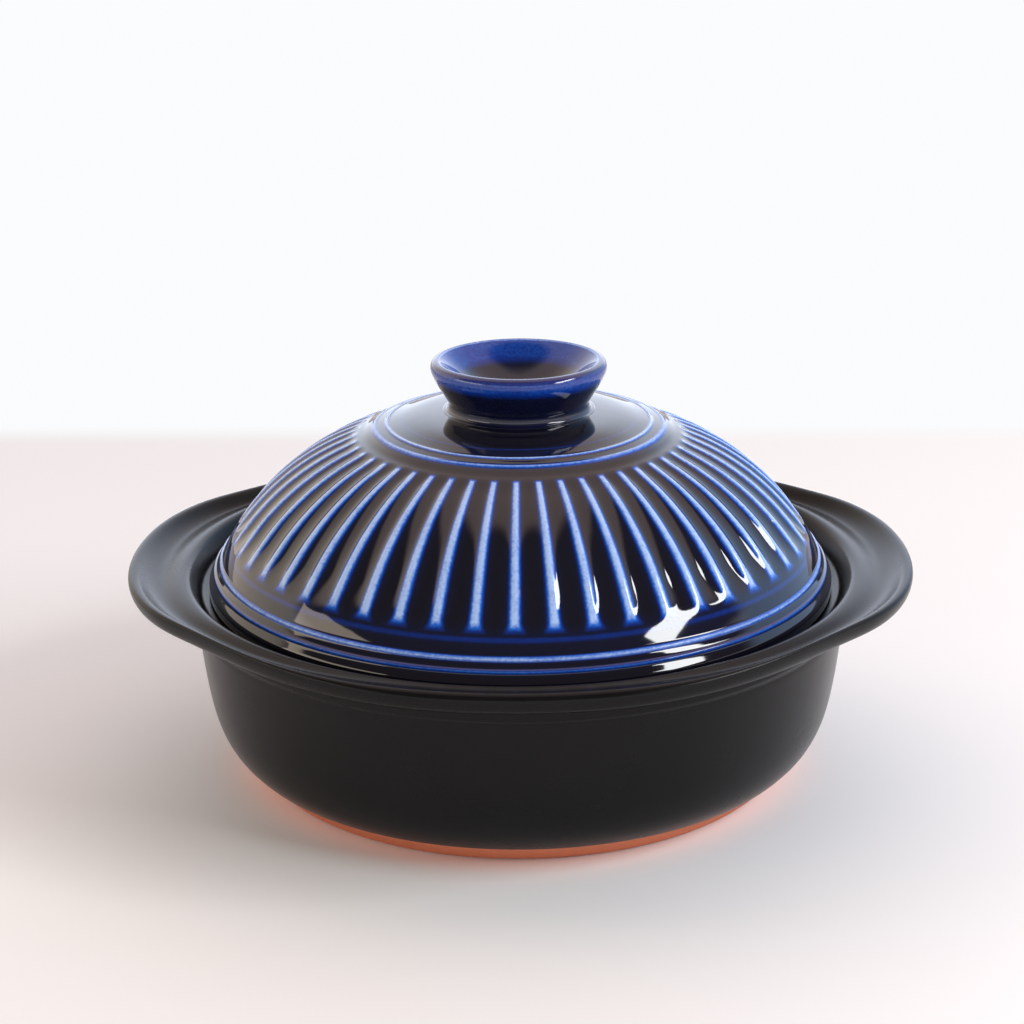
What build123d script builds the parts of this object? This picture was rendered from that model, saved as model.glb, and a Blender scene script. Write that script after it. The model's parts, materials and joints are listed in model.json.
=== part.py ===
from build123d import *
from math import asin, atan2, cos, hypot, pi, sin
import os

# Clay pot with a fluted domed lid, in millimetres.
# The origin is the middle of the foot, +Z is up and the two lugs lie along X.

# Pot: foot and bowl
foot_radius = 95.2
foot_ring_width = 16.2
foot_recess_depth = 1.8
shoulder_radius = 117.0
shoulder_height = 58.6
bowl_wall = 10.0
floor_height = 8.5
floor_edge_inset = 21.2

# Pot: collar under the rim
collar_step = 1.1
collar_rise = 1.4

# Pot: mouth and the ledge that carries the lid
rim_rise = 14.6
mouth_overhang = 2.2
mouth_draft = 4.0
mouth_round = 1.2
ledge_depth = 7.7
ledge_round = 1.2

# Pot: rim and lugs
rim_width = 8.8
rim_thickness = 6.4
lug_width = 12.7
lug_lift = 3.6

# Lid: skirt, seat and the two beads over the skirt
lid_clearance = 2.9
seat_ring_width = 5.4
seat_chamfer = 0.9
skirt_height = 4.4
lower_bead_inset = 2.2
lower_bead_rise = 3.8
upper_bead_inset = 4.6
upper_bead_rise = 7.1
bead_width = 1.3
bead_height = 0.45

# Lid: dome, crown and the two rings between them
crown_rise = 64.1
crown_thickness = 7.2
dome_top_radius = 55.6
dome_top_drop = 8.0
lid_wall = 6.2
outer_ring_inset = 4.0
outer_ring_drop = 5.8
inner_ring_inset = 8.5
inner_ring_drop = 4.4
steam_hole_diameter = 6.5

# Lid: flutes
flute_count = 50
flute_top_margin = 1.0
flute_bottom_margin = 3.0

# Knob
knob_waist_radius = 25.1
knob_foot_flare = 2.0
knob_foot_edge = 0.5
knob_lip_flare = 6.1
knob_height = 18.2
knob_dish_depth = 13.5
knob_brim_width = 1.3
knob_brim_roll = 0.9

# How far a cut or a blank runs past what it cuts
overrun = 2.0

# Outlines as shares of the sizes that they follow.
# Bowl outside: share of the flare from foot to shoulder, share of the shoulder's height.
bowl_outer_shares = [(0.26, 0.096), (0.52, 0.19), (0.715, 0.32), (0.83, 0.48), (0.908, 0.67), (0.963, 0.853)]
# Bowl inside: share of the way from floor edge to wall, share of the way from floor to ledge.
bowl_inner_shares = [(0.36, 0.025), (0.62, 0.10), (0.80, 0.215), (0.905, 0.37), (0.965, 0.56), (0.99, 0.76)]
# Rim in plan: share of the quarter turn from a lug's middle, share of the lug's width that is left.
rim_plan_shares = [
    (0.0, 1.0),
    (0.089, 1.0),
    (0.167, 0.98),
    (0.233, 0.905),
    (0.3, 0.745),
    (0.378, 0.455),
    (0.444, 0.30),
    (0.556, 0.215),
    (0.667, 0.15),
    (0.833, 0.05),
    (1.0, 0.0),
]
# Rim top: share of the way from mouth to lug tip, height over the rim as a share of the lug's lift.
rim_top_shares = [
    (0.10, 0.0),
    (0.28, -0.10),
    (0.42, -0.06),
    (0.57, 0.26),
    (0.70, 0.66),
    (0.86, 0.93),
    (1.08, 1.06),
]
# Rim underside: the same way out, depth under the rim as a share of the rim's thickness.
rim_under_shares = [(1.08, 0.38), (0.88, 0.56), (0.66, 0.80), (0.46, 1.0), (0.30, 1.12), (0.14, 1.18)]
# How far down the rim springs from the bowl, and the two roundings of its edge, as shares of its thickness.
rim_root_share = 1.25
nose_top_share = 0.41
nose_under_share = 0.31
# Dome: how far its arc stands out from its chord, as a share of the chord.
dome_bulge_share = 0.1005
# Crown: share of the way from the knob to the inner ring, share of the drop between them.
crown_shares = (0.52, 0.38)
# Flute: width as a share of its pitch, depth as a share of its width, stations between its two end balls.
flute_width_share = 0.88
flute_depth_share = 0.15
flute_station_shares = [0.0, 0.2, 0.4, 0.6, 0.8, 1.0]
# Knob outside, from foot to brim: share of the way from waist to lip, share of the height.
knob_fillet_shares = (0.10, 0.052)
knob_neck_shares = [(0.0, 0.10), (0.01, 0.165), (0.165, 0.275), (0.36, 0.385), (0.57, 0.50), (0.79, 0.64)]
knob_lip_shares = [(0.925, 0.74), (1.0, 0.865), (0.88, 0.958), (0.56, 1.0)]
# Knob dish: share of its radius, share of its depth.
knob_dish_shares = [(0.92, 0.13), (0.78, 0.38), (0.60, 0.66), (0.42, 0.87), (0.22, 0.98)]

# Sizes that follow from those above
foot_recess_radius = foot_radius - foot_ring_width
floor_radius = foot_radius - floor_edge_inset
rim_height = shoulder_height + rim_rise
root_height = rim_height - rim_thickness * rim_root_share
ledge_height = rim_height - ledge_depth
mouth_radius = shoulder_radius + mouth_overhang
ledge_outer_radius = mouth_radius - mouth_draft
ledge_inner_radius = shoulder_radius - bowl_wall
rim_half_depth = mouth_radius + rim_width
lug_reach = rim_half_depth + lug_width
rim_span = lug_reach - mouth_radius
lid_skirt_radius = ledge_outer_radius - lid_clearance
lid_skirt_top = ledge_height + skirt_height
crown_height = ledge_height + crown_rise
knob_foot_radius = knob_waist_radius + knob_foot_flare
inner_ring_radius = dome_top_radius - inner_ring_inset
steam_hole_radius = (knob_foot_radius + inner_ring_radius) / 2


def along(start, end, shares):
    """The point that lies these shares of the way from start to end, one share for each axis."""
    return tuple(a + (b - a) * share for a, b, share in zip(start, end, shares))


def bead(centre, slope):
    """Foot, top and foot of a small round bead across a surface that falls at this angle."""
    run = (cos(slope) * bead_width / 2, -sin(slope) * bead_width / 2)
    out = (sin(slope) * bead_height, cos(slope) * bead_height)
    return (
        (centre[0] - run[0], centre[1] - run[1]),
        (centre[0] + out[0], centre[1] + out[1]),
        (centre[0] + run[0], centre[1] + run[1]),
    )


def dome_point(angle, radius):
    """A point of the dome's section, at an angle from upright about the arc's centre."""
    return (dome_centre[0] + radius * sin(angle), dome_centre[1] + radius * cos(angle))


def dome_angle(distance, radius):
    """The angle at which an arc of this radius is this far from the lid's axis."""
    return asin((distance - dome_centre[0]) / radius)


def flute_width(distance):
    """Width of a flute at this distance from the lid's axis."""
    return flute_width_share * 2 * pi * distance / flute_count


def flute_section(angle):
    """Plane and radius of the round scoop that leaves the flute's width and depth at this angle."""
    width = flute_width(dome_point(angle, dome_radius)[0])
    depth = width * flute_depth_share
    radius = (width**2 / 4 + depth**2) / (2 * depth)
    x, z = dome_point(angle, dome_radius - depth + radius)
    return Plane(origin=(x, 0, z), x_dir=(0, 1, 0), z_dir=(cos(angle), 0, -sin(angle))), radius


def rim_plan(quarter, share):
    """The rim's outline in one of its four quarters, at a share of the quarter turn from a lug's middle."""
    reach = rim_half_depth + lug_width * share
    turn = quarter * pi / 2
    return [(x * reach * cos(turn), y * reach * sin(turn)) for x, y in ((1, 1), (-1, 1), (-1, -1), (1, -1))]


def rim_side(builder):
    """The upright face that the outline has cut round the rim and the lugs."""
    return builder.faces().filter_by(GeomType.EXTRUSION)[0]


os.makedirs("parts", exist_ok=True)

# The pot is turned about Z: bowl, ledge and a rim as wide as the lugs, which an outline then trims.
foot_corner = (foot_radius, 0)
shoulder = (shoulder_radius, shoulder_height)
collar = (shoulder_radius + collar_step, shoulder_height + collar_rise)
root = (collar[0], root_height)
bowl_outer = [foot_corner] + [along(foot_corner, shoulder, s) for s in bowl_outer_shares] + [shoulder]
floor_edge = (floor_radius, floor_height)
bowl_top = (ledge_inner_radius, ledge_height - ledge_round)
bowl_inner = [floor_edge] + [along(floor_edge, bowl_top, s) for s in bowl_inner_shares] + [bowl_top]
mouth = (mouth_radius, rim_height - mouth_round / 2)
rim_top = [(mouth_radius + rim_span * s, rim_height + lug_lift * h) for s, h in rim_top_shares]
rim_under = [(mouth_radius + rim_span * s, rim_height - rim_thickness * d) for s, d in rim_under_shares]

# The four quarters of the rim's plan, each turned so that they follow one another, without doubled points
quarters = list(zip(*[rim_plan(*shares) for shares in rim_plan_shares]))
rim_outline = quarters[0] + quarters[1][-2::-1] + quarters[2][1:] + quarters[3][-2:0:-1]

with BuildPart() as pot:
    with BuildSketch(Plane.XZ):
        with BuildLine():
            Polyline(
                (0, floor_height),
                (0, foot_recess_depth),
                (foot_recess_radius - foot_recess_depth, foot_recess_depth),
                (foot_recess_radius, 0),
                foot_corner,
            )
            Spline(bowl_outer)
            Polyline(shoulder, collar, root)
            Spline([root] + rim_under[::-1])
            Line(rim_under[0], rim_top[-1])
            Spline(rim_top[::-1])
            Line(rim_top[0], mouth)
            Polyline(
                mouth,
                (ledge_outer_radius, ledge_height),
                (ledge_inner_radius + ledge_round, ledge_height),
                bowl_top,
            )
            Spline(bowl_inner[::-1])
            Line(floor_edge, (0, floor_height))
        make_face()
    revolve(axis=Axis.Z)

    # Seen from above the rim runs out into two lugs. The outline goes once round through all four quarters.
    with BuildSketch():
        with BuildLine():
            Spline(rim_outline, periodic=True)
        make_face()
    extrude(amount=rim_height + lug_lift + overrun, mode=Mode.INTERSECT)

    # The trimmed edge is rounded over above and below.
    fillet(rim_side(pot).edges().sort_by(Axis.Z)[-1:], rim_thickness * nose_top_share)
    fillet(rim_side(pot).edges().sort_by(Axis.Z)[:1], rim_thickness * nose_under_share)

pot.part.label = "pot"
export_step(pot.part, "parts/pot.step")

# The lid is turned about Z, then its flutes are scooped out.
lower_bead = bead((lid_skirt_radius - lower_bead_inset, lid_skirt_top + lower_bead_rise), pi / 3)
upper_bead = bead((lid_skirt_radius - upper_bead_inset, lid_skirt_top + upper_bead_rise), pi / 3)
outer_ring_centre = (dome_top_radius - outer_ring_inset, crown_height - outer_ring_drop)
inner_ring_centre = (inner_ring_radius, crown_height - inner_ring_drop)
ring_slope = atan2(inner_ring_centre[1] - outer_ring_centre[1], outer_ring_centre[0] - inner_ring_centre[0])
outer_ring = bead(outer_ring_centre, ring_slope)
inner_ring = bead(inner_ring_centre, ring_slope)
crown_edge = (knob_foot_radius, crown_height)
ceiling = (knob_waist_radius, crown_height - crown_thickness)

# In section the dome is one arc, from the outer ring's foot down to the upper bead.
dome_head = (dome_top_radius, crown_height - dome_top_drop)
dome_foot = upper_bead[0]
dome_run = (dome_foot[0] - dome_head[0], dome_head[1] - dome_foot[1])
dome_chord = hypot(*dome_run)
dome_bulge = dome_chord * dome_bulge_share
dome_radius = (dome_chord**2 / 4 + dome_bulge**2) / (2 * dome_bulge)
centre_share = (dome_radius - dome_bulge) / dome_chord
dome_centre = (
    (dome_head[0] + dome_foot[0]) / 2 - dome_run[1] * centre_share,
    (dome_head[1] + dome_foot[1]) / 2 - dome_run[0] * centre_share,
)
dome_middle_angle = (dome_angle(dome_head[0], dome_radius) + dome_angle(dome_foot[0], dome_radius)) / 2

# The inside of the dome is an arc about the same centre.
seat_inner_radius = lid_skirt_radius - seat_chamfer - seat_ring_width
inner_radius = dome_radius - lid_wall
inner_start_angle = dome_angle(seat_inner_radius - lid_wall, inner_radius)
inner_end_angle = dome_angle(outer_ring_centre[0], inner_radius)

# One flute is scooped by a tapered tool that follows the dome, with a ball at each end.
flute_top_radius = dome_head[0] + flute_top_margin
flute_bottom_radius = dome_foot[0] - flute_bottom_margin
top_end_angle = dome_angle(flute_top_radius + flute_width(flute_top_radius) / 2, dome_radius)
bottom_round_angle = flute_width(flute_bottom_radius) / (2 * dome_radius)
bottom_end_angle = dome_angle(flute_bottom_radius, dome_radius) - bottom_round_angle
flute_angles = [top_end_angle + (bottom_end_angle - top_end_angle) * share for share in flute_station_shares]

with BuildPart() as flute_scoop:
    for angle in flute_angles:
        plane, radius = flute_section(angle)
        with BuildSketch(plane):
            Circle(radius)
    loft()
    for angle in (top_end_angle, bottom_end_angle):
        plane, radius = flute_section(angle)
        with Locations(plane.location):
            Sphere(radius)

with BuildPart() as lid:
    with BuildSketch(Plane.XZ):
        with BuildLine():
            Line((0, crown_height), crown_edge)
            Spline([crown_edge, along(crown_edge, inner_ring[0], crown_shares), inner_ring[0]])
            ThreePointArc(*inner_ring)
            Line(inner_ring[2], outer_ring[0])
            ThreePointArc(*outer_ring)
            Line(outer_ring[2], dome_head)
            ThreePointArc(dome_head, dome_point(dome_middle_angle, dome_radius), dome_foot)
            ThreePointArc(*upper_bead)
            Line(upper_bead[2], lower_bead[0])
            ThreePointArc(*lower_bead)
            Polyline(
                lower_bead[2],
                (lid_skirt_radius, lid_skirt_top),
                (lid_skirt_radius, ledge_height + seat_chamfer),
                (lid_skirt_radius - seat_chamfer, ledge_height),
                (seat_inner_radius, ledge_height),
                dome_point(inner_start_angle, inner_radius),
            )
            ThreePointArc(
                dome_point(inner_start_angle, inner_radius),
                dome_point((inner_start_angle + inner_end_angle) / 2, inner_radius),
                dome_point(inner_end_angle, inner_radius),
            )
            Polyline(dome_point(inner_end_angle, inner_radius), ceiling, (0, ceiling[1]), (0, crown_height))
        make_face()
    revolve(axis=Axis.Z)
    with PolarLocations(0, flute_count):
        add(flute_scoop.part, mode=Mode.SUBTRACT)
    with BuildSketch(Plane.XY.offset(ceiling[1] - overrun)):
        with Locations((0, steam_hole_radius)):
            Circle(steam_hole_diameter / 2)
    extrude(until=Until.LAST, mode=Mode.SUBTRACT)

lid.part.label = "lid"
export_step(lid.part, "parts/lid.step")

# The knob is turned about Z: a waisted stem with a rolled lip round a dish.
waist = (knob_waist_radius, crown_height)
lip_top = (knob_waist_radius + knob_lip_flare, crown_height + knob_height)
knob_shoulder = (knob_foot_radius, crown_height + knob_foot_edge)
neck = [along(waist, lip_top, s) for s in knob_neck_shares]
lip = [along(waist, lip_top, s) for s in knob_lip_shares]
dish_edge = (lip[-1][0] - knob_brim_width, lip[-1][1] - knob_brim_roll)
dish_bottom = (0, dish_edge[1] - knob_dish_depth)
dish = [along((0, dish_edge[1]), (dish_edge[0], dish_bottom[1]), s) for s in knob_dish_shares]

with BuildPart() as knob:
    with BuildSketch(Plane.XZ):
        with BuildLine():
            Polyline((0, crown_height), crown_edge, knob_shoulder)
            ThreePointArc(knob_shoulder, along(waist, lip_top, knob_fillet_shares), neck[0])
            Spline(neck)
            Spline([neck[-1]] + lip)
            Line(lip[-1], dish_edge)
            Spline([dish_edge] + dish + [dish_bottom], tangents=[(-1, -1), (-1, 0)])
            Line(dish_bottom, (0, crown_height))
        make_face()
    revolve(axis=Axis.Z)

knob.part.label = "knob"
export_step(knob.part, "parts/knob.step")
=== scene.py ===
import json
from math import cos, hypot, pi, radians, sin

import bpy
import numpy as np
from mathutils import Matrix, Vector


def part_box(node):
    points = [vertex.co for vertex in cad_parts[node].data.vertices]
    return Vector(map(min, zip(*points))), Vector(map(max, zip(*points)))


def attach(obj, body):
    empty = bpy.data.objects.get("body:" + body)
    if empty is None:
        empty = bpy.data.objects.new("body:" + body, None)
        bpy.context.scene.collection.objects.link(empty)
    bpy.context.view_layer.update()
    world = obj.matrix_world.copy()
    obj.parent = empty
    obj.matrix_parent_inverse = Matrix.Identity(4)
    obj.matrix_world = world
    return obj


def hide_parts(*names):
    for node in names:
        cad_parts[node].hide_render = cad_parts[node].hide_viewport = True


# Clay pot with a fluted domed lid, in metres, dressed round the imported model.
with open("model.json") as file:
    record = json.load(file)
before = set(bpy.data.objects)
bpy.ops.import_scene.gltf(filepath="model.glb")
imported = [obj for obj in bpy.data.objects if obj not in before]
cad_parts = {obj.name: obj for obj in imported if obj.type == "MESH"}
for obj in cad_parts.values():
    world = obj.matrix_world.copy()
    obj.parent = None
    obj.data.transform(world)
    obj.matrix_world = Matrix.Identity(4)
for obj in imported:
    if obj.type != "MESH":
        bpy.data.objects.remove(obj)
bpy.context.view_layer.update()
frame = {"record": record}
mm = 0.001

# Reach of the pot, its lid and its knob, from the frame
lug_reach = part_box("pot")[1].x
rim_half_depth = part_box("pot")[1].y
lid_skirt_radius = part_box("lid")[1].x
ledge_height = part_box("lid")[0].z
crown_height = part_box("lid")[1].z
knob_top_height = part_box("knob")[1].z

# Pot: foot and bowl
foot_radius = 95.2 * mm
foot_recess_radius = 79.0 * mm
foot_recess_depth = 1.8 * mm
foot_round = 1.6 * mm
shoulder_radius = 117.0 * mm
shoulder_height = 58.6 * mm
floor_height = 8.5 * mm
floor_radius = 74.0 * mm
glaze_line_height = 7.8 * mm
glaze_thickness = 0.22 * mm

# Pot: collar, mouth and ledge
collar_step = 1.1 * mm
collar_rise = 1.4 * mm
root_height = 65.2 * mm
root_round = 2.6 * mm
rim_height = 73.2 * mm
mouth_radius = 119.5 * mm
mouth_round = 1.8 * mm
ledge_outer_radius = 115.2 * mm
ledge_inner_radius = 107.0 * mm
ledge_round = 1.4 * mm

# Pot: rim and lugs
lug_lift = 3.6 * mm
rim_thickness = 6.4 * mm
nose_top_width = 3.4 * mm
nose_under_width = 2.8 * mm
nose_fullness = 0.56
nose_tip_share = 0.60

# Lid: seat, skirt and the two beads over it
lid_wall = 6.2 * mm
seat_ring_width = 5.4 * mm
seat_chamfer = 0.9 * mm
skirt_height = 4.4 * mm
dome_foot = (lid_skirt_radius - 4.93 * mm, ledge_height + 12.06 * mm)
lower_bead_up = 4.4 * mm
upper_bead_up = 8.5 * mm
lower_bead_height = 0.6 * mm
upper_bead_height = 0.45 * mm
bead_spread = 0.65 * mm

# Lid: dome, crown and the two rings between them
dome_head = (55.6 * mm, crown_height - 8.0 * mm)
dome_bulge_share = 0.1005
crown_thickness = 7.2 * mm
outer_ring = (51.6 * mm, crown_height - 5.8 * mm)
inner_ring = (47.1 * mm, crown_height - 4.4 * mm)
crown_middle = (37.8 * mm, crown_height - 1.6 * mm)
faint_ring_radius = 42.0 * mm
ring_height = 0.45 * mm
ring_spread = 0.55 * mm
steam_hole_place = 37.1 * mm
steam_hole_radius = 3.25 * mm
steam_hole_round = 0.8 * mm

# Lid: flutes
flute_count = 50
flute_turn = radians(0.0)
flute_top_margin = 1.0 * mm
flute_bottom_margin = 3.0 * mm
flute_width_share = 0.88
flute_depth_share = 0.14
flute_squareness = 1.35
crest_softness = 0.10
flute_run_out = 14.0 * mm
flute_run_in = 7.0 * mm

# Knob
knob_foot_radius = 27.1 * mm
knob_waist_radius = 25.1 * mm
knob_lip_radius = 31.2 * mm
knob_brim_width = 1.3 * mm
knob_brim_roll = 0.9 * mm
knob_dish_depth = 13.5 * mm

# Outlines as shares of the sizes that they follow, each pair a share outwards and a share upwards
bowl_outer_shares = [
    (0.0, 0.0), (0.26, 0.096), (0.52, 0.19), (0.715, 0.32), (0.83, 0.48), (0.908, 0.67), (0.963, 0.853),
    (1.0, 1.0),
]
bowl_inner_shares = [
    (0.0, 0.0), (0.36, 0.025), (0.62, 0.10), (0.80, 0.215), (0.905, 0.37), (0.965, 0.56), (0.99, 0.76),
    (1.0, 1.0),
]
lug_top_shares = [
    (0.0, 0.0), (0.10, 0.0), (0.28, -0.24), (0.50, -0.52), (0.73, 0.10), (0.90, 0.85), (1.0, 1.0),
]
lug_under_shares = [(-0.07, -1.25), (0.14, -1.12), (0.36, -1.07), (0.62, -0.96), (0.86, -0.66), (1.0, -0.52)]
rim_top_shares = [
    (0.0, 0.0), (0.10, 0.0), (0.28, -0.06), (0.50, -0.12), (0.73, -0.08), (0.90, 0.0), (1.0, 0.0),
]
rim_under_shares = [(-0.17, -1.25), (0.14, -1.20), (0.36, -1.18), (0.62, -1.16), (0.86, -1.13), (1.0, -1.10)]
knob_neck_shares = [(0.015, 0.175), (0.165, 0.275), (0.36, 0.385), (0.57, 0.50), (0.79, 0.64)]
knob_lip_shares = [(0.79, 0.64), (0.925, 0.74), (1.0, 0.865), (0.88, 0.958), (0.56, 1.0)]
knob_dish_shares = [(0.92, 0.13), (0.78, 0.38), (0.60, 0.66), (0.42, 0.87), (0.22, 0.98), (0.0, 1.0)]

# Plan of the rim: angle from the lugs' middle in degrees, share of the way from the rim's narrowest place
# to the lug's tip
rim_plan_shares = [
    (0, 1.0), (8, 1.0), (15, 0.98), (21, 0.905), (27, 0.745), (34, 0.455), (40, 0.30), (50, 0.215),
    (60, 0.15), (75, 0.05), (90, 0.0),
]
# Angles from the lugs' middle, in degrees, between which the rim's edge rises to the lug's
lug_rise_angles = (79, 34)

# How finely the surfaces are divided round the axis
pot_columns = 480
flute_column_shares = [-0.455, -0.41, -0.35, -0.26, -0.14, 0.0, 0.14, 0.26, 0.35, 0.41, 0.455, 0.5]
knob_columns = 180


# Curves


def cubic(knots, values, at):
    """A natural cubic spline through the values at the knots, worked out at other places.

    The second derivatives m solve h[i-1] m[i-1] + 2 (h[i-1] + h[i]) m[i] + h[i] m[i+1] = 6 times the change
    of slope at knot i, and are nought at both ends.
    """
    knots, values, at = (np.asarray(a, float) for a in (knots, values, at))
    h = np.diff(knots)
    slope = (np.diff(values, axis=0).T / h).T
    system = np.eye(len(knots))
    inner = np.arange(1, len(knots) - 1)
    system[inner, inner - 1] = h[:-1]
    system[inner, inner] = 2 * (h[:-1] + h[1:])
    system[inner, inner + 1] = h[1:]
    change = np.zeros_like(values)
    change[1:-1] = 6 * np.diff(slope, axis=0)
    m = np.linalg.solve(system, change)
    i = np.clip(np.searchsorted(knots, at, side="right") - 1, 0, len(knots) - 2)
    near, far, width = at - knots[i], knots[i + 1] - at, h[i]
    if values.ndim == 2:
        near, far, width = near[:, None], far[:, None], width[:, None]
    bend = (m[i] * far**3 + m[i + 1] * near**3) / (6 * width)
    start = (values[i] / width - m[i] * width / 6) * far
    end = (values[i + 1] / width - m[i + 1] * width / 6) * near
    return bend + start + end


def curve(points, count):
    """This many points along a natural cubic spline through the given ones, by the length of its chords."""
    points = np.array(points, float)
    knots = np.concatenate([[0], np.cumsum(np.hypot(*np.diff(points, axis=0).T))])
    return cubic(knots, points, np.linspace(0, knots[-1], count))


def between(start, end, shares):
    """Points that lie these shares of the way from start to end, one share for each axis."""
    return np.array(start) + (np.array(end) - np.array(start)) * np.array(shares)


def straight(start, end, count):
    """Evenly spaced points on a line, both ends included."""
    return between(start, end, np.linspace(0, 1, count)[:, None])


def soft_corner(before, corner, after, reach, count):
    """A parabola in place of the corner, from this far before it to this far after it."""
    before, corner, after = (np.array(p, float) for p in (before, corner, after))
    start = corner + (before - corner) * reach / np.hypot(*(before - corner))
    end = corner + (after - corner) * reach / np.hypot(*(after - corner))
    t = np.linspace(0, 1, count)[:, None]
    return (1 - t) ** 2 * start + 2 * t * (1 - t) * corner + t**2 * end


def bump(distance, spread):
    """A bell curve, exp(-(distance / spread)^2)."""
    return np.exp(-((distance / spread) ** 2))


# Surfaces turned about the pot's axis


def turned(section, angles):
    """Vertices and faces of a closed surface about Z, from a section that may change with the angle.

    section has the shape (columns, rows, 2), a radius r and a height. Each row is a ring of x = r cos a and
    y = r sin a. The first and the last row lie on the axis and close as poles. The section runs with the
    solid on its left.
    """
    columns, rows = len(angles), section.shape[1] - 2
    radius, height = section[:, 1:-1, 0], section[:, 1:-1, 1]
    rings = np.stack([radius * np.cos(angles)[:, None], radius * np.sin(angles)[:, None], height], -1)
    poles = [[0, 0, section[0, 0, 1]], [0, 0, section[0, -1, 1]]]
    index = np.arange(columns * rows).reshape(columns, rows)
    beside = np.roll(index, -1, axis=0)
    quads = np.stack([index[:, :-1], beside[:, :-1], beside[:, 1:], index[:, 1:]], -1).reshape(-1, 4)
    first = np.full(columns, columns * rows)
    start_fan = np.stack([first, beside[:, 0], index[:, 0]], -1)
    end_fan = np.stack([index[:, -1], beside[:, -1], first + 1], -1)
    return np.concatenate([rings.reshape(-1, 3), poles]), [quads, start_fan, end_fan]


def piece(name, vertices, faces, node, slot, material):
    """A smooth object from vertices and arrays of faces, which replaces a CAD node and rides on its body."""
    mesh = bpy.data.meshes.new(name)
    loops = np.concatenate([f.ravel() for f in faces])
    sizes = np.concatenate([np.full(len(f), f.shape[1]) for f in faces])
    mesh.vertices.add(len(vertices))
    mesh.vertices.foreach_set("co", vertices.astype(np.float32).ravel())
    mesh.loops.add(len(loops))
    mesh.loops.foreach_set("vertex_index", loops.astype(np.int32))
    mesh.polygons.add(len(sizes))
    mesh.polygons.foreach_set("loop_start", (np.cumsum(sizes) - sizes).astype(np.int32))
    mesh.polygons.foreach_set("use_smooth", np.ones(len(sizes), bool))
    mesh.update(calc_edges=True)
    mesh.validate()
    mesh.materials.append(material)
    made = bpy.data.objects.new(name, mesh)
    bpy.context.scene.collection.objects.link(made)
    body = next(b for b, nodes in frame["record"]["behaviour"]["bodies"].items() if node in nodes)
    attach(made, body)
    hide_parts(node)
    return made


# Pot


def from_lug(angles):
    """Angle in degrees from the middle of the nearer lug, from nought to a right angle."""
    return np.degrees(np.arctan2(np.abs(np.sin(angles)), np.abs(np.cos(angles))))


def rim_outline(angles):
    """Reach of the rim at each angle, a cubic spline through the plan's shares.

    The shares are mirrored at the lugs and halfway between them.
    """
    places, shares = np.array(rim_plan_shares).T
    places = np.concatenate([-places[:0:-1], places, 180 - places[-2::-1]])
    shares = np.concatenate([shares[:0:-1], shares, shares[-2::-1]])
    return rim_half_depth + (lug_reach - rim_half_depth) * cubic(places, shares, from_lug(angles))


def lug_share(angles):
    """How far the rim's edge has risen to the lug's at each angle, a smooth step."""
    low, high = lug_rise_angles
    t = np.clip((from_lug(angles) - low) / (high - low), 0, 1)
    return t * t * (3 - 2 * t)


def rim_surface(top, angles, across):
    """Points of the rim's top or underside, at shares of the way from the mouth to the outline.

    The height is a mix of the rim's spline and the lug's, by the lug share.
    """
    plain, lug, size = (rim_top_shares, lug_top_shares, lug_lift) if top else (
        rim_under_shares, lug_under_shares, rim_thickness)
    heights = [cubic(*np.array(shares).T, across.ravel()).reshape(across.shape) for shares in (plain, lug)]
    share = lug_share(angles)[:, None]
    radius = mouth_radius + (rim_outline(angles)[:, None] - mouth_radius) * across
    return np.stack([radius, rim_height + size * ((1 - share) * heights[0] + share * heights[1])], -1)


def rim_across(angles, start, end, count):
    """Even shares of the way from the mouth to the outline, between two radii at each angle."""
    width = rim_outline(angles)[:, None] - mouth_radius
    start, end = (np.broadcast_to(np.reshape(r, (-1, 1)), width.shape) for r in (start, end))
    return (start + (end - start) * np.linspace(0, 1, count)[None] - mouth_radius) / width


def rim_nose(angles, count):
    """The rounded edge of the rim at every angle, from its underside to its top.

    Two cubic Bezier quarters meet upright at the furthest point. Their handles are drawn towards the corner
    that the underside, or the top, makes with the outline.
    """
    reach = rim_outline(angles)
    t = np.linspace(0, 1, count)[None, :, None]
    ends = [rim_surface(top, angles, rim_across(angles, reach - width, reach, 2))
            for top, width in ((False, nose_under_width), (True, nose_top_width))]
    (start, low), (end, high) = ((pair[:, :1], pair[:, 1:]) for pair in ends)
    tip = low + (high - low) * nose_tip_share

    def quarter(a, corner, d):
        b, c = a + (corner - a) * nose_fullness, d + (corner - d) * nose_fullness
        return (1 - t) ** 3 * a + 3 * (1 - t) ** 2 * t * b + 3 * (1 - t) * t**2 * c + t**3 * d

    return np.concatenate([quarter(start, low, tip), quarter(tip, high, end)[:, 1:]], 1)


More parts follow.
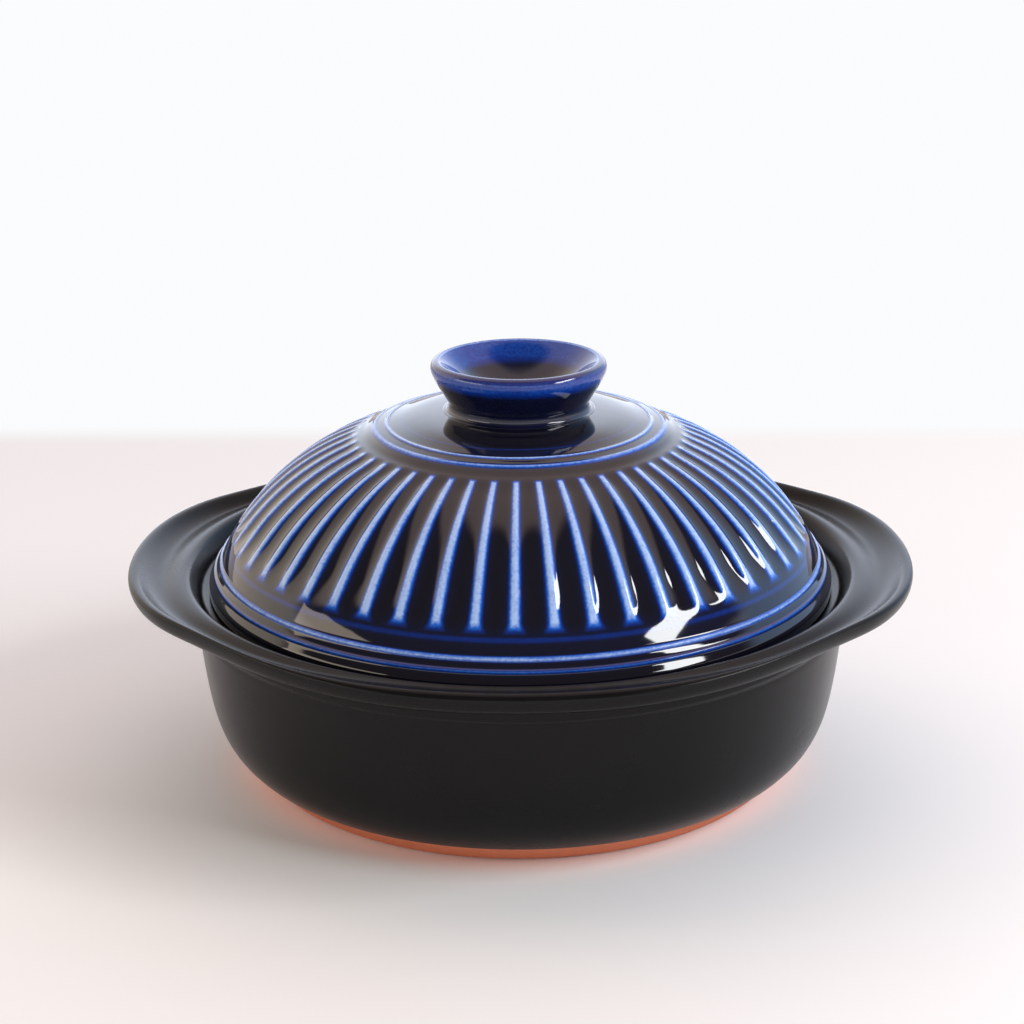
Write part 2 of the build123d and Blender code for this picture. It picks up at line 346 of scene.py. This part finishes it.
def pot_section(angles):
    """The pot's section at every angle, from the middle of its foot out, over its rim, and in to its floor.

    Only the rim changes with the angle. The glaze stands proud of the bare clay by its thickness, over a
    smooth step at the glaze line.
    """
    reach = rim_outline(angles)
    foot_corner, recess_corner = (foot_radius, 0), (foot_recess_radius, 0)
    recess_top = (foot_recess_radius - foot_recess_depth, foot_recess_depth)
    shoulder = (shoulder_radius, shoulder_height)
    collar = (shoulder_radius + collar_step, shoulder_height + collar_rise)
    root = (collar[0], root_height)
    outer = curve(between(foot_corner, shoulder, bowl_outer_shares), 400)
    heights = np.concatenate([
        np.linspace(foot_round, 0.88 * glaze_line_height, 5),
        np.linspace(0.92 * glaze_line_height, 1.10 * glaze_line_height, 8),
        np.linspace(1.20 * glaze_line_height, shoulder_height - collar_step, 24),
    ])
    bowl = np.stack([np.interp(heights, outer[:, 1], outer[:, 0]), heights], -1)
    covered = np.clip((heights / glaze_line_height - 0.97) / 0.06, 0, 1)
    bowl[:, 0] += glaze_thickness * covered**2 * (3 - 2 * covered)
    mouth = (mouth_radius, rim_height)
    mouth_inside = (mouth_radius + mouth_round, rim_height)
    ledge_corner, ledge_edge = (ledge_outer_radius, ledge_height), (ledge_inner_radius, ledge_height)
    bowl_top = (ledge_inner_radius, ledge_height - ledge_round)
    inner = curve(between((floor_radius, floor_height), bowl_top, bowl_inner_shares), 22)[::-1]
    below = np.concatenate([
        straight((0, foot_recess_depth), (0.9 * foot_recess_radius, foot_recess_depth), 4),
        soft_corner((0, foot_recess_depth), recess_top, recess_corner, 0.4 * foot_recess_depth, 4),
        soft_corner(recess_top, recess_corner, foot_corner, 0.4 * foot_recess_depth, 4),
        soft_corner(recess_corner, foot_corner, bowl[0], foot_round, 6),
        bowl[1:],
        soft_corner(bowl[-1], shoulder, collar, 0.7 * collar_step, 4),
        soft_corner(shoulder, collar, root, 0.8 * collar_step, 5),
        soft_corner(collar, root, (root[0] + root_round, root_height + 0.1 * root_round), root_round, 7),
    ])
    above = np.concatenate([
        soft_corner(mouth_inside, mouth, ledge_corner, mouth_round, 6),
        soft_corner(mouth, ledge_corner, ledge_edge, ledge_round, 6),
        soft_corner(ledge_corner, ledge_edge, bowl_top, 0.98 * ledge_round, 5),
        inner[1:],
        straight((floor_radius, floor_height), (0, floor_height), 5)[1:],
    ])
    across_under = rim_across(angles, root[0] + root_round, reach - nose_under_width, 12)
    across_over = rim_across(angles, reach - nose_top_width, mouth_inside[0], 18)
    under = rim_surface(False, angles, across_under)
    over = rim_surface(True, angles, across_over)
    below, above = (np.broadcast_to(part, (pot_columns, *part.shape)) for part in (below, above))
    return np.concatenate([below, under[:, 1:-1], rim_nose(angles, 9), over[:, 1:-1], above], 1)


# Lid


def arc_over(head, foot, bulge_share):
    """Centre and radius of the arc from head to foot that stands out by this share of its chord."""
    run, drop = foot[0] - head[0], head[1] - foot[1]
    chord = hypot(run, drop)
    bulge = bulge_share * chord
    radius = (chord**2 / 4 + bulge**2) / (2 * bulge)
    share = (radius - bulge) / chord
    return ((head[0] + foot[0]) / 2 - drop * share, (head[1] + foot[1]) / 2 - run * share), radius


dome_centre, dome_radius = arc_over(dome_head, dome_foot, dome_bulge_share)


def dome_angle(distance, radius=dome_radius):
    """Angle from upright, about the dome's centre, of the point of an arc this far from the lid's axis."""
    return np.arcsin((distance - dome_centre[0]) / radius)


def dome_points(angles, radius=dome_radius):
    """Points of an arc about the dome's centre, at angles from upright."""
    return np.stack([dome_centre[0] + radius * np.sin(angles), dome_centre[1] + radius * np.cos(angles)], -1)


def flute_half(distance):
    """Half the width of a flute at this distance from the lid's axis."""
    return flute_width_share * pi * distance / flute_count


# The middles of the round ends of a flute, as distances from the axis and as lengths along the dome's arc
flute_top = dome_head[0] + flute_top_margin
flute_top += flute_half(flute_top)
flute_foot = dome_foot[0] - flute_bottom_margin
flute_foot -= flute_half(flute_foot) * cos(dome_angle(flute_foot))
flute_top_along, flute_foot_along = dome_radius * dome_angle(flute_top), dome_radius * dome_angle(flute_foot)


def flute_hollow(distance, along, beside):
    """How far the flutes sink the dome, by distance from the axis, length along the arc and pitches aside.

    A flute is a scoop of depth d (1 - q^2p), where q is the distance from its middle line, or past its ends
    from their middles, over its half width, and p is its squareness. Its crest is softened: the share of the
    depth, s, becomes k log(1 + exp(s / k)). Its depth grows in a smooth step from each end.
    """
    aside = beside * 2 * pi * distance / flute_count
    past = np.maximum(flute_top_along - along, 0) + np.maximum(along - flute_foot_along, 0)
    half = flute_half(np.clip(distance, flute_top, flute_foot))
    left = 1 - ((aside**2 + past**2) / half**2) ** flute_squareness
    depth = 2 * half * flute_depth_share
    for reach, length in ((flute_foot_along + flute_half(flute_foot) - along, flute_run_out),
                          (along - flute_top_along + flute_half(flute_top), flute_run_in)):
        t = np.clip(reach / length, 0, 1)
        depth = depth * t * t * (3 - 2 * t)
    return depth * crest_softness * np.logaddexp(0, left / crest_softness)


def ceiling_height(radius):
    """Height of the lid's ceiling under the crown, a straight slope out to the arc inside the dome."""
    inner_radius = dome_radius - lid_wall
    end = dome_points(dome_angle(outer_ring[0], inner_radius), inner_radius)
    return np.interp(radius, [knob_waist_radius, end[0]], [crown_height - crown_thickness, end[1]])


def lid_section(beside):
    """The lid's section at every angle, from the middle of its ceiling, round its seat, to its crown.

    Only the dome changes with the angle, by its flutes. Beads and rings are bell curves on a plain base.
    """
    columns = len(beside)
    ceiling = (knob_waist_radius, crown_height - crown_thickness)
    inner_radius = dome_radius - lid_wall
    seat_inner = (lid_skirt_radius - seat_chamfer - seat_ring_width, ledge_height)
    inner_angles = dome_angle(np.array([outer_ring[0], seat_inner[0] - lid_wall]), inner_radius)
    inner_arc = dome_points(np.linspace(*inner_angles, 13), inner_radius)
    hole_rows = steam_hole_place + np.linspace(-1, 1, 15) * (steam_hole_radius + 3 * steam_hole_round)
    slope_r = np.concatenate([[1.08 * ceiling[0]], hole_rows, [0.93 * outer_ring[0]]])
    slope = np.stack([slope_r, ceiling_height(slope_r)], -1)
    skirt_low, skirt_top = ((lid_skirt_radius, ledge_height + h) for h in (seat_chamfer, skirt_height))
    seat_outer = (lid_skirt_radius - seat_chamfer, ledge_height)

    band = straight(skirt_top, dome_foot, 34)[4:-1]
    up = np.hypot(*(band - skirt_top).T)
    outward = np.array([dome_foot[1] - skirt_top[1], skirt_top[0] - dome_foot[0]])
    raised = lower_bead_height * bump(up - lower_bead_up, bead_spread)
    raised += upper_bead_height * bump(up - upper_bead_up, bead_spread)
    band = band + outward / np.hypot(*outward) * raised[:, None]

    lower = np.concatenate([
        straight((0, ceiling[1]), ceiling, 4),
        slope,
        inner_arc,
        soft_corner(inner_arc[-1], seat_inner, seat_outer, seat_chamfer, 4),
        soft_corner(seat_inner, seat_outer, skirt_low, 0.4 * seat_chamfer, 3),
        soft_corner(seat_outer, skirt_low, skirt_top, 0.4 * seat_chamfer, 3),
        soft_corner(skirt_low, skirt_top, dome_foot, seat_chamfer, 5),
        band,
    ])

    crown_r = np.concatenate([
        np.linspace(dome_head[0] - 1.5 * mm, outer_ring[0] - 1.5 * mm, 9),
        np.linspace(inner_ring[0] + 1.5 * mm, inner_ring[0] - 1.5 * mm, 9),
        hole_rows[::-1],
        [1.05 * knob_foot_radius],
    ])
    rings = bump(crown_r - outer_ring[0], ring_spread) + bump(crown_r - inner_ring[0], ring_spread)
    crown = np.stack([crown_r, crown_base(crown_r) + ring_height * rings], -1)

    head, foot = dome_angle(dome_head[0]) * dome_radius, dome_angle(dome_foot[0]) * dome_radius
    along = np.concatenate([
        np.linspace(foot, flute_foot_along - 2 * mm, 15),
        np.linspace(flute_foot_along - 2 * mm, flute_top_along + 1 * mm, 26)[1:-1],
        np.linspace(flute_top_along + 1 * mm, head + 1.5 * mm, 8),
    ])
    dome = dome_points(along / dome_radius)
    hollow = flute_hollow(dome[None, :, 0], along[None], beside[:, None])
    inward = -dome_points(along / dome_radius, 1) + dome_centre
    dome = dome + hollow[..., None] * inward
    upper = np.concatenate([
        soft_corner(dome_points(head / dome_radius + 0.02), dome_head, crown[0], 1.2 * mm, 5),
        crown,
        straight((knob_foot_radius, crown_height), (0, crown_height), 4),
    ])
    lower, upper = (np.broadcast_to(part, (columns, *part.shape)) for part in (lower, upper))
    return np.concatenate([lower, dome, upper], 1)


def crown_base(radius):
    """Height of the crown without its rings, a cubic spline from the knob out to the head of the dome."""
    places = [(knob_foot_radius, crown_height), crown_middle, inner_ring, outer_ring, dome_head]
    return cubic(*np.array(places).T, radius)


def open_steam_hole(vertices, faces):
    """Cuts the steam hole through the crown: the quads over it go, and rings of quads line it instead.

    Crown and ceiling have the same columns and rows there, so both borders have the same corners. Each is
    moved out to a circle, and four smaller circles between them make a wall with rounded ends.
    """
    quads = faces[0]
    place = np.array([0, steam_hole_place])
    border_radius = steam_hole_radius + steam_hole_round
    middle = vertices[quads].mean(1)
    gone = np.hypot(*(middle[:, :2] - place).T) < border_radius
    border = np.intersect1d(quads[gone], quads[~gone])
    halfway = crown_height - crown_thickness / 2
    loops = []
    for side in (border[vertices[border, 2] > halfway], border[vertices[border, 2] < halfway]):
        offset = vertices[side, :2] - place
        loops.append(side[np.argsort(np.arctan2(offset[:, 1], offset[:, 0]))])
    upper, lower = loops
    turn = np.arctan2(*(vertices[upper, :2] - place).T[::-1])

    def circle(radius, height_of, sink):
        flat = place + radius * np.stack([np.cos(turn), np.sin(turn)], -1)
        return np.column_stack([flat, height_of(np.hypot(*flat.T)) - sink])

    vertices[upper] = circle(border_radius, crown_base, 0)
    vertices[lower] = circle(border_radius, ceiling_height, 0)
    near = steam_hole_round
    rings = [
        circle(steam_hole_radius + 0.3 * near, crown_base, 0.3 * near),
        circle(steam_hole_radius, crown_base, near),
        circle(steam_hole_radius, ceiling_height, -near),
        circle(steam_hole_radius + 0.3 * near, ceiling_height, -0.3 * near),
    ]
    count = len(upper)
    added = len(vertices) + np.arange(4 * count).reshape(4, count)
    levels = np.stack([upper, *added, lower])
    ahead = np.roll(levels, -1, axis=1)
    wall = np.stack([levels[:-1], ahead[:-1], ahead[1:], levels[1:]], -1).reshape(-1, 4)
    vertices = np.concatenate([vertices, *rings])
    faces = [np.concatenate([quads[~gone], wall]), *faces[1:]]
    kept = np.zeros(len(vertices), bool)
    for part in faces:
        kept[part] = True
    place_of = np.cumsum(kept) - 1
    return vertices[kept], [place_of[part] for part in faces]


# Knob


def knob_section():
    """The knob's section, from the middle of its foot, up its waisted neck, over its lip, into its dish."""
    foot, top = (knob_waist_radius, crown_height), (knob_lip_radius, knob_top_height)
    flare = knob_foot_radius - knob_waist_radius
    upright = (knob_waist_radius, knob_top_height)
    fillet = soft_corner((knob_foot_radius, crown_height), foot, upright, flare, 10)
    neck = curve(np.concatenate([fillet[-2:], between(foot, top, knob_neck_shares)]), 26)
    lip = curve(between(foot, top, knob_lip_shares), 16)
    dish_edge = (lip[-1][0] - knob_brim_width, knob_top_height - knob_brim_roll)
    dish_bottom = (0, dish_edge[1] - knob_dish_depth)
    dish = between((0, dish_edge[1]), (dish_edge[0], dish_bottom[1]), knob_dish_shares)
    dish = curve(np.concatenate([[lip[-1], dish_edge], dish]), 32)
    return np.concatenate([straight((0, crown_height), fillet[0], 4), fillet[1:-2], neck, lip[1:], dish[1:]])


# Materials


class Socket:
    """An output socket of a material's node. Python's operators on it add Math nodes."""

    def __init__(self, material, link):
        self.material = material
        self.link = link

    def __add__(self, other):
        return self.material.maths("ADD", self, other)

    def __sub__(self, other):
        return self.material.maths("SUBTRACT", self, other)

    def __rsub__(self, other):
        return self.material.maths("SUBTRACT", other, self)

    def __mul__(self, other):
        return self.material.maths("MULTIPLY", self, other)

    def __truediv__(self, other):
        return self.material.maths("DIVIDE", self, other)

    def __abs__(self):
        return self.material.maths("ABSOLUTE", self)

    __radd__ = __add__
    __rmul__ = __mul__


class NodeTree:
    """A node tree that is filled by node(), maths() and the shorthands below."""

    def __init__(self, owner):
        owner.use_nodes = True
        self.owner = owner
        self.tree = owner.node_tree
        self.tree.nodes.clear()

    def node(self, kind, settings=None, inputs=None, output=0):
        """One node of this type: its settings first, then its sockets' values or links. Gives an output."""
        made = self.tree.nodes.new(kind)
        for key, value in (settings or {}).items():
            if key == "stops":
                ramp = made.color_ramp
                while len(ramp.elements) < len(value):
                    ramp.elements.new(1)
                for element, (position, colour) in zip(ramp.elements, value):
                    element.position = position
                    element.color = (*colour, 1)
            else:
                setattr(made, key, value)
        for key, value in (inputs or {}).items():
            if isinstance(value, Socket):
                self.tree.links.new(value.link, made.inputs[key])
            else:
                made.inputs[key].default_value = value
        return Socket(self, made.outputs[output])

    def maths(self, operation, *values):
        """A Math node."""
        return self.node("ShaderNodeMath", {"operation": operation}, dict(enumerate(values)))

    def place(self):
        """The point's x, y and z in metres, in the object's own axes, and the point itself."""
        point = self.node("ShaderNodeTexCoord", output="Object")
        return [self.node("ShaderNodeSeparateXYZ", {}, {0: point}, axis) for axis in "XYZ"] + [point]

    def noise(self, point, scale, detail=2.0, roughness=0.5):
        """Noise from 0 to 1 about 0.5."""
        values = {"Vector": point, "Scale": scale, "Detail": detail, "Roughness": roughness}
        return self.node("ShaderNodeTexNoise", {}, values, "Fac")

    def step(self, value, low, high):
        """A smooth step, 0 below low and 1 above high."""
        sockets = {"Value": value, "From Min": low, "From Max": high}
        return self.node("ShaderNodeMapRange", {"interpolation_type": "SMOOTHSTEP"}, sockets)

    def bell(self, distance, spread):
        """exp(-(distance / spread)^2)."""
        share = distance / spread
        return self.maths("EXPONENT", 0 - share * share)

    def mix(self, factor, first, second):
        """A mix of two colours."""
        pad = lambda colour: colour if isinstance(colour, Socket) else (*colour, 1)
        sockets = {"Factor": factor, 6: pad(first), 7: pad(second)}
        return self.node("ShaderNodeMix", {"data_type": "RGBA"}, sockets, 2)

    def relief(self, height, distance, strength=1.0):
        """A normal from a height between 0 and 1."""
        sockets = {"Height": height, "Distance": distance, "Strength": strength}
        return self.node("ShaderNodeBump", {}, sockets)

    def surface(self, **sockets):
        """Ends a material in a Principled surface, its sockets' names written with underscores."""
        named = {key.replace("_", " "): value for key, value in sockets.items()}
        self.end(self.node("ShaderNodeBsdfPrincipled", {}, named))
        return self.owner

    def end(self, shader, kind="ShaderNodeOutputMaterial"):
        """Links a shader to the tree's output."""
        self.tree.links.new(shader.link, self.tree.nodes.new(kind).inputs["Surface"])


glaze_stops = [
    (0.0, (0.0045, 0.004, 0.010)), (0.22, (0.004, 0.007, 0.034)), (0.45, (0.003, 0.030, 0.24)),
    (0.68, (0.015, 0.13, 0.60)), (1.0, (0.40, 0.56, 0.90)),
]
violet = (0.034, 0.020, 0.048)
terracotta = (0.42, 0.17, 0.085)
terracotta_dark, terracotta_pale = (0.52, 0.145, 0.070), (0.70, 0.235, 0.125)
black_deep, black_worn = (0.0040, 0.0038, 0.0040), (0.0075, 0.0070, 0.0072)
glaze_gloss, glaze_ior = 0.05, 1.55

# Lid: the fade of the pale glaze past both ends of a ridge, and the cobalt that pools past its foot
ridge_top_fade = 3.0 * mm
ridge_foot_fade = 6.0 * mm
ridge_foot_least = 0.08
pool_place = 6.3 * mm
pool_spread = 1.5 * mm
pool_strength = 0.36
bare_seat_height = 0.9 * mm

# Knob: the dish's edge, measured in from the lip, where a painted highlight runs, and how far under the top
# the lip turns cobalt
brim_inset = 2.7 * mm
lip_glaze_depths = (8.5 * mm, 4.5 * mm)

# Pot: how far the glaze line wanders
glaze_line_wander = 0.9 * mm

# Where the glaze breaks pale: radius of each ring, or way up the band of each bead, spread and strength
pale_rings = [
    (outer_ring[0], 1.15 * mm, 0.80), (inner_ring[0], 0.80 * mm, 0.95), (faint_ring_radius, 0.5 * mm, 0.35),
]
pale_beads = [(lower_bead_up, 0.8 * mm, 0.60), (upper_bead_up, 0.95 * mm, 0.88)]


def cobalt_glaze(tree, thin, point):
    """Colour of the cobalt glaze: near black where it pools, pale and speckled where it runs thin."""
    speckle = tree.noise(point, 900.0, 3.0, 0.6) - 0.5
    cloud = tree.noise(point, 60.0, 3.0, 0.6) - 0.5
    level = thin + (speckle * 0.5 + cloud * 0.3) * thin
    ramp = {"stops": glaze_stops}
    return tree.node("ShaderNodeValToRGB", ramp, {"Fac": level})


def lid_glaze():
    """Glossy cobalt glaze that breaks pale along the ridges between the flutes, the rings and the beads.

    It runs off the feet of the ridges and pools as cobalt between the flutes and the upper bead.
    """
    tree = NodeTree(bpy.data.materials.new("lid_glaze"))
    x, y, z, point = tree.place()
    radius = tree.maths("SQRT", x * x + y * y)
    pitches = (tree.maths("ARCTAN2", y, x) - flute_turn) * (flute_count / (2 * pi))
    beside = abs(pitches - tree.maths("ROUND", pitches))
    along = tree.maths("ARCTAN2", radius - dome_centre[0], z - dome_centre[1]) * dome_radius
    past_top = tree.maths("MAXIMUM", flute_top_along - along, 0.0)
    past_foot = tree.maths("MAXIMUM", along - flute_foot_along, 0.0)
    clamped = tree.maths("MINIMUM", tree.maths("MAXIMUM", radius, flute_top), flute_foot)
    half = clamped * (flute_width_share * pi / flute_count)
    aside = beside * radius * (2 * pi / flute_count)
    edge = tree.maths("SQRT", aside * aside + past_top * past_top + past_foot * past_foot) - half
    inner = edge / half
    ends = tree.step(past_top, ridge_top_fade, 0.2 * mm) * (
        ridge_foot_least + (1 - ridge_foot_least) * tree.step(past_foot, ridge_foot_fade, 0.0))
    ridge = (tree.step(inner, -0.40, 0.06) * 0.76 + tree.step(inner, -0.80, -0.10) * 0.24) * ends
    pool = tree.bell(along - flute_foot_along - pool_place, pool_spread) * pool_strength
    on_dome = tree.step(along, dome_foot_along + 0.5 * mm, dome_foot_along - 1.0 * mm)
    thin = tree.maths("MAXIMUM", ridge * on_dome, pool)
    on_crown = tree.step(z, dome_head[1] - 1 * mm, dome_head[1])
    for ring_radius, spread, strength in pale_rings:
        ring = tree.bell(radius - ring_radius, spread) * on_crown * strength
        thin = tree.maths("MAXIMUM", thin, ring)
    on_band = tree.step(z, dome_foot[1] + 1 * mm, dome_foot[1])
    for up, spread, strength in pale_beads:
        height = ledge_height + skirt_height + up * bead_slope
        thin = tree.maths("MAXIMUM", thin, tree.bell(z - height, spread) * (on_band * strength))
    colour = cobalt_glaze(tree, thin, point)
    bare = tree.step(z - ledge_height, bare_seat_height + 0.2 * mm, bare_seat_height - 0.2 * mm)
    wave = tree.relief(tree.noise(point, 45.0, 2.0), 0.6 * mm, 0.25)
    return tree.surface(
        Base_Color=tree.mix(bare, colour, terracotta), Roughness=bare * 0.7 + glaze_gloss, Normal=wave,
        IOR=glaze_ior)


def knob_glaze():
    """The same glaze on the knob: navy neck, cobalt under the lip, violet over it, a painted highlight at
    the dish's edge.
    """
    tree = NodeTree(bpy.data.materials.new("knob_glaze"))
    x, y, z, point = tree.place()
    radius = tree.maths("SQRT", x * x + y * y)
    brim = knob_lip_radius - brim_inset
    lip_high = tree.step(z, *(knob_top_height - depth for depth in lip_glaze_depths))
    inside = tree.step(radius, brim - 0.4 * mm, brim - 1.6 * mm)
    thin = 0.12 + lip_high * 0.36 + inside * 0.02
    # Painted highlight: a pale line round the dish's edge, near the top of the brim
    on_brim = tree.step(z, knob_top_height - 2 * mm, knob_top_height - 1 * mm)
    dish_edge_highlight = tree.bell(radius - brim + 0.4 * mm, 0.45 * mm) * on_brim
    thin = tree.maths("MAXIMUM", thin, dish_edge_highlight * 0.85)
    colour = cobalt_glaze(tree, thin, point)
    on_lip = tree.step(z, knob_top_height - 3 * mm, knob_top_height - 1.2 * mm)
    worn = tree.bell(radius - brim - 1.4 * mm, 1.2 * mm) * on_lip
    wave = tree.relief(tree.noise(point, 55.0, 2.0), 0.6 * mm, 0.25)
    return tree.surface(
        Base_Color=tree.mix(worn * 0.8, colour, violet), Roughness=glaze_gloss, Normal=wave, IOR=glaze_ior)


def pot_glaze():
    """Satin black glaze that ends above the foot, over bare terracotta."""
    tree = NodeTree(bpy.data.materials.new("pot_glaze"))
    x, y, z, point = tree.place()
    wobble = (tree.noise(point, 40.0) - 0.5) * glaze_line_wander
    glazed = tree.step(z + wobble, 0.98 * glaze_line_height, 1.02 * glaze_line_height)
    cloud = tree.noise(point, 30.0, 4.0, 0.6)
    grain = tree.noise(point, 1400.0, 2.0, 0.6)
    clay = tree.mix(tree.noise(point, 500.0, 3.0, 0.7), terracotta_dark, terracotta_pale)
    black = tree.mix(cloud, black_deep, black_worn)
    roughness = 0.82 - glazed * 0.56 + (cloud - 0.5) * 0.12
    relief = tree.relief(grain, 0.08 * mm, 0.4)
    return tree.surface(
        Base_Color=tree.mix(glazed, clay, black), Roughness=roughness, Normal=relief, IOR=1.26)


# Pieces

bead_slope = (dome_foot[1] - ledge_height - skirt_height) / hypot(
    lid_skirt_radius - dome_foot[0], dome_foot[1] - ledge_height - skirt_height)
dome_foot_along = dome_radius * float(dome_angle(dome_foot[0]))

pot_angles = np.arange(pot_columns) * 2 * pi / pot_columns
piece("glazed_pot", *turned(pot_section(pot_angles), pot_angles), "pot", "pot_glaze", pot_glaze())

flute_shares = np.tile(flute_column_shares, flute_count)
flute_numbers = np.repeat(np.arange(flute_count), len(flute_column_shares))
lid_angles = flute_turn + (flute_numbers + flute_shares) * 2 * pi / flute_count
lid_parts = open_steam_hole(*turned(lid_section(flute_shares), lid_angles))
piece("glazed_lid", *lid_parts, "lid", "lid_glaze", lid_glaze())

knob_angles = np.arange(knob_columns) * 2 * pi / knob_columns
knob_rows = np.broadcast_to(knob_section(), (knob_columns, *knob_section().shape))
piece("glazed_knob", *turned(knob_rows, knob_angles), "knob", "knob_glaze", knob_glaze())

# Studio: a pale table, a room that is dark high in front, a high window and a low warm light

backdrop_colour = (0.96, 0.97, 0.985)
table_colour = (0.95, 0.945, 0.94)
table_edge, table_end = 0.385, 0.425
floor_half = 4.0

floor_tree = NodeTree(bpy.data.materials.new("pale_table"))
x, y, z, point = floor_tree.place()
far = floor_tree.maths("MAXIMUM", abs(x), abs(y))
seen = floor_tree.node("ShaderNodeLightPath", output="Is Camera Ray")
beyond = floor_tree.step(far, table_edge, table_end) * seen
matt = {"Base Color": (*table_colour, 1), "Roughness": 0.5, "Specular IOR Level": 0.0}
table = floor_tree.node("ShaderNodeBsdfPrincipled", {}, matt)
pale_end = floor_tree.node("ShaderNodeEmission", {}, {"Color": (*backdrop_colour, 1), "Strength": 1.0})
floor_tree.end(floor_tree.node("ShaderNodeMixShader", {}, {0: beyond, 1: table, 2: pale_end}))
floor_mesh = bpy.data.meshes.new("table")
corners = [(a * floor_half, b * floor_half, 0) for a, b in ((-1, -1), (1, -1), (1, 1), (-1, 1))]
floor_mesh.from_pydata(corners, [], [(0, 1, 2, 3)])
floor_mesh.materials.append(floor_tree.owner)
floor = bpy.data.objects.new("table", floor_mesh)
bpy.context.scene.collection.objects.link(floor)

room = NodeTree(bpy.data.worlds.new("room"))
bpy.context.scene.world = room.owner
sky_left, sky_right, sky_behind = (1.60, 1.38, 1.15), (0.80, 1.10, 1.60), (1.95, 2.10, 2.45)
sky_overhead, sky_low_front, sky_front = (1.12, 0.88, 0.78), (1.30, 1.33, 1.38), (0.14, 0.125, 0.125)
direction = room.node("ShaderNodeTexCoord", output="Generated")
side, depth, up = (room.node("ShaderNodeSeparateXYZ", {}, {0: direction}, axis) for axis in "XYZ")
sides = room.mix(room.step(side, -0.3, 0.3), sky_left, sky_right)
low = room.mix(room.step(abs(side), 0.25, 0.60), sky_behind, sides)
pale = room.mix(room.step(up, 0.40, 0.80), low, sky_overhead)
front = room.mix(room.step(up, 0.28, 0.36), sky_low_front, sky_front)
wall = room.mix(room.step(depth, -0.02, 0.16), front, pale)
seen = room.node("ShaderNodeLightPath", output="Is Camera Ray")
backdrop = room.mix(seen, wall, backdrop_colour)
sky = room.node("ShaderNodeBackground", {}, {"Color": backdrop, "Strength": 1.0})
room.end(sky, "ShaderNodeOutputWorld")


lamp_distance = 1.5
lamp_aim_height = 100 * mm


def soft_light(name, side_angle, lift_angle, roll_angle, width, height, power, colour):
    """A rectangular light that faces the lid. Its angles are in degrees, with nought to the front."""
    aim = Vector((0, 0, lamp_aim_height))
    lamp = bpy.data.lights.new(name, "AREA")
    lamp.shape, lamp.size, lamp.size_y = "RECTANGLE", width, height
    lamp.energy, lamp.color = power, colour
    holder = bpy.data.objects.new(name, lamp)
    flat = cos(radians(lift_angle))
    turn = radians(side_angle)
    way = Vector((sin(turn) * flat, -cos(turn) * flat, sin(radians(lift_angle))))
    holder.location = aim + way * lamp_distance
    roll = Matrix.Rotation(radians(roll_angle), 3, "Z")
    holder.rotation_euler = (way.to_track_quat("Z", "Y").to_matrix() @ roll).to_euler()
    bpy.context.scene.collection.objects.link(holder)
    return holder


window = soft_light("window_light", 69, 33, 24, 0.90, 0.26, 14, (0.96, 0.98, 1.0))
warm = soft_light("warm_light", -68, 18, 0, 1.1, 0.32, 3.6, (1.0, 0.84, 0.66))

camera_data = bpy.data.cameras.new("camera")
camera_data.lens, camera_data.sensor_width = 80.2, 36.0
camera = bpy.data.objects.new("camera", camera_data)
camera_place = Matrix.Translation((-0.0028, -0.781, 0.351))
camera_turn, camera_tilt, camera_roll = (
    Matrix.Rotation(radians(angle), 4, axis) for angle, axis in ((1.3, "Z"), (71.56, "X"), (-0.52, "Z")))
camera.matrix_world = camera_turn @ camera_place @ camera_tilt @ camera_roll
bpy.context.scene.collection.objects.link(camera)
bpy.context.scene.camera = camera

bpy.context.scene.view_settings.view_transform = "Standard"
